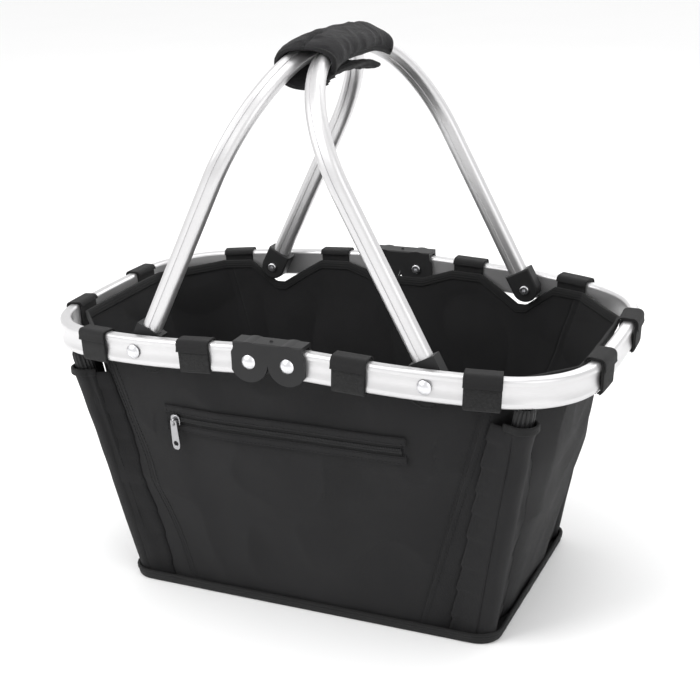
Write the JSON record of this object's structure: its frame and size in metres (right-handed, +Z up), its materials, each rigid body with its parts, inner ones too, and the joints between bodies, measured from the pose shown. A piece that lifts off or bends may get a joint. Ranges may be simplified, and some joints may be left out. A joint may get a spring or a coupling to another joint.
{
  "type": "collapsible carry basket",
  "caption": "Open fabric carry basket hung from a folding oval metal rim, with folding arch handles, a padded grip, corner poles and a zipped front pocket.",
  "frame": {"origin": "middle of the base, on the surface that the basket stands on", "axes": "+X along the basket's length, +Y across it away from the zipped front, +Z up"},
  "size_m": [0.4844, 0.3006, 0.4704],
  "materials": {
    "anodised_aluminium": "satin anodised",
    "rivet_steel": "bright",
    "black_plastic": "fine-grained moulding",
    "black_webbing": "woven webbing",
    "grip_padding": "padded woven cloth",
    "pole_plastic": "ribbed, satin",
    "board": "stiff insert board",
    "zip_metal": "plated",
    "zip_tape": "woven tape and nylon coil",
    "binding_tape": "woven binding tape",
    "bag_fabric": "coarse plain-weave polyester"
  },
  "bodies": {
    "basket_bag": {"hinge_clip_front": "black_plastic", "hinge_clip_back": "black_plastic", "clip_rivets_front": "rivet_steel", "clip_rivets_back": "rivet_steel", "bag_front_panel": "bag_fabric", "bag_back_panel": "bag_fabric", "bag_end_panel_left": "bag_fabric", "bag_end_panel_right": "bag_fabric", "bag_bottom_panel": "bag_fabric", "base_board": "board", "mouth_hem": "binding_tape", "base_binding": "binding_tape", "corner_pole_left_front": "pole_plastic", "corner_pole_left_back": "pole_plastic", "corner_pole_right_front": "pole_plastic", "corner_pole_right_back": "pole_plastic", "pole_pocket_left_front": "bag_fabric", "pole_pocket_left_back": "bag_fabric", "pole_pocket_right_front": "bag_fabric", "pole_pocket_right_back": "bag_fabric", "zip_coil": "zip_tape", "zip_tape_upper": "zip_tape", "zip_tape_lower": "zip_tape", "pocket_lining": "bag_fabric"},
    "rim_left": {"rim_half_left": "anodised_aluminium", "handle_rivets_left": "rivet_steel", "strap_left_front_inner": "black_webbing", "strap_left_front_outer": "black_webbing", "strap_left_front_end": "black_webbing", "strap_left_back_inner": "black_webbing", "strap_left_back_outer": "black_webbing", "strap_left_back_end": "black_webbing"},
    "rim_right": {"rim_half_right": "anodised_aluminium", "handle_rivets_right": "rivet_steel", "strap_right_front_inner": "black_webbing", "strap_right_front_outer": "black_webbing", "strap_right_front_end": "black_webbing", "strap_right_back_inner": "black_webbing", "strap_right_back_outer": "black_webbing", "strap_right_back_end": "black_webbing"},
    "handle_left": {"handle_tube_left": "anodised_aluminium", "handle_cap_left_front": "black_plastic", "handle_cap_left_back": "black_plastic", "grip_wrap": "grip_padding", "grip_top_flap": "grip_padding", "grip_under_flap": "grip_padding"},
    "handle_right": {"handle_tube_right": "anodised_aluminium", "handle_cap_right_front": "black_plastic", "handle_cap_right_back": "black_plastic"},
    "zip_runner": {"zip_slider": "zip_metal"},
    "zip_tab": {"zip_pull": "zip_metal"}
  },
  "joints": [
    {"name": "rim_fold_left", "type": "hinge", "parent": "basket_bag", "child": "rim_left", "pos_m": [-0.0165, 0, 0.236], "axis": [0, 1, 0], "range_deg": [-87, 0], "deforming": ["bag_front_panel", "bag_back_panel", "bag_end_panel_left", "bag_end_panel_right", "mouth_hem", "pole_pocket_left_front", "pole_pocket_left_back", "pole_pocket_right_front", "pole_pocket_right_back", "corner_pole_left_front", "corner_pole_left_back", "corner_pole_right_front", "corner_pole_right_back", "zip_coil", "zip_tape_upper", "zip_tape_lower", "pocket_lining", "bag_bottom_panel", "base_board", "base_binding", "zip_slider", "zip_pull"]},
    {"name": "rim_fold_right", "type": "hinge", "parent": "basket_bag", "child": "rim_right", "pos_m": [0.0165, 0, 0.236], "axis": [0, -1, 0], "range_deg": [-87, 0]},
    {"name": "handle_swing_left", "type": "hinge", "parent": "rim_left", "child": "handle_left", "pos_m": [-0.12525, 0, 0.2303], "axis": [0, -1, 0], "range_deg": [0, 75], "deforming": ["grip_top_flap", "grip_under_flap"]},
    {"name": "handle_swing_right", "type": "hinge", "parent": "rim_right", "child": "handle_right", "pos_m": [0.12525, 0, 0.2303], "axis": [0, 1, 0], "range_deg": [0, 75]},
    {"name": "zip_run", "type": "slide", "parent": "basket_bag", "child": "zip_runner", "axis": [1, 0, 0], "range_m": [0, 0.194]},
    {"name": "zip_tab_swing", "type": "hinge", "parent": "zip_runner", "child": "zip_tab", "pos_m": [-0.1005, -0.12867, 0.16572], "axis": [1, 0, 0], "range_deg": [-100, 0]}
  ],
  "couplings": [
    {"joint": "rim_fold_right", "follows": "rim_fold_left", "ratio": 1}
  ]
}
